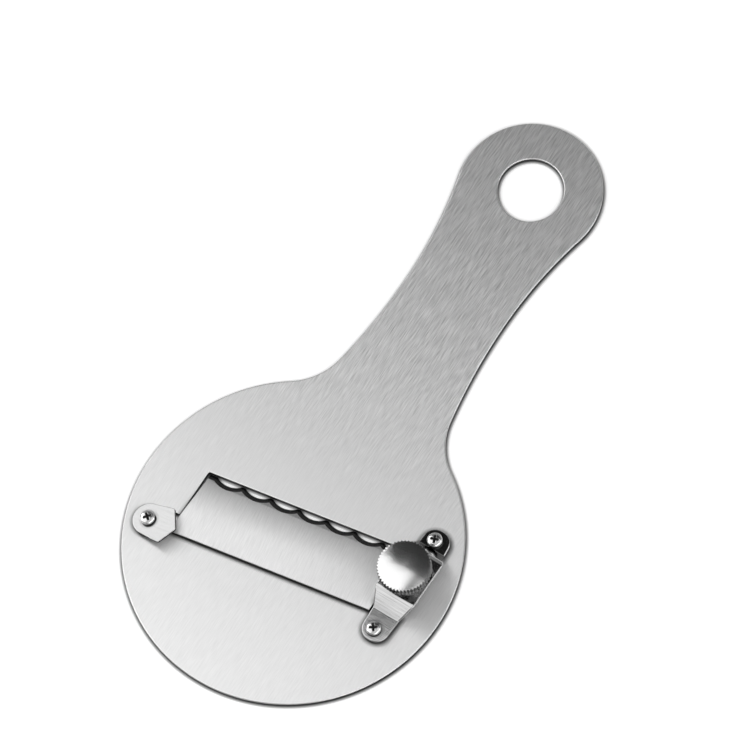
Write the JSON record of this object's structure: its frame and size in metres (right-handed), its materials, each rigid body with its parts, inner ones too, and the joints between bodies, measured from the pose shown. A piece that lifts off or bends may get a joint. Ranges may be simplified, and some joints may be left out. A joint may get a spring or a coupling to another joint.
{
  "type": "truffle slicer",
  "caption": "Flat brushed-steel paddle with a ring-ended handle and a scalloped blade that a knurled thumbscrew tips in its slot.",
  "frame": {"origin": "under the middle of the plate's outline, on its flat working face", "axes": "+X across the head, towards the thumbscrew; +Y along the handle, towards the ring; +Z out of the front face, towards the knob"},
  "size_m": [0.0902, 0.179, 0.0139],
  "materials": {
    "brushed_steel": "fine brushed along the handle, polished edge",
    "ground_blade_steel": "finely ground square to the edge, dark ground bevel",
    "bright_sheet_steel": "bright rolled sheet",
    "turned_steel": "turned and polished",
    "screw_steel": "bright"
  },
  "bodies": {
    "frame": {"body_plate": "brushed_steel", "blade_clip": "bright_sheet_steel", "clip_screw": "screw_steel", "bridge_bracket": "bright_sheet_steel", "bridge_screw_ring_end": "screw_steel", "bridge_screw_tip_end": "screw_steel", "threaded_bush": "turned_steel"},
    "blade": {"slicing_blade": "ground_blade_steel"},
    "washer": {"thrust_washer": "turned_steel"},
    "thumbscrew": {"thumb_stud": "turned_steel", "thumb_knob": "turned_steel"}
  },
  "joints": [
    {"name": "screw_travel", "type": "slide", "parent": "frame", "child": "washer", "axis": [0, 0, 1], "range_m": [-0.00106, 0]},
    {"name": "thumbscrew_turn", "type": "hinge", "parent": "washer", "child": "thumbscrew", "pos_m": [0.03192, -0.0383, 0.0116], "axis": [0, 0, 1], "range_deg": [-540, 0]},
    {"name": "blade_tip", "type": "hinge", "parent": "frame", "child": "blade", "pos_m": [0.00096, -0.05093, 0.0015], "axis": [0.9893, 0.1461, 0], "range_deg": [-7.6, 0]}
  ],
  "couplings": [
    {"joint": "screw_travel", "follows": "thumbscrew_turn", "m_per_rad": 0.00011141},
    {"joint": "blade_tip", "follows": "thumbscrew_turn", "ratio": 0.013977}
  ]
}
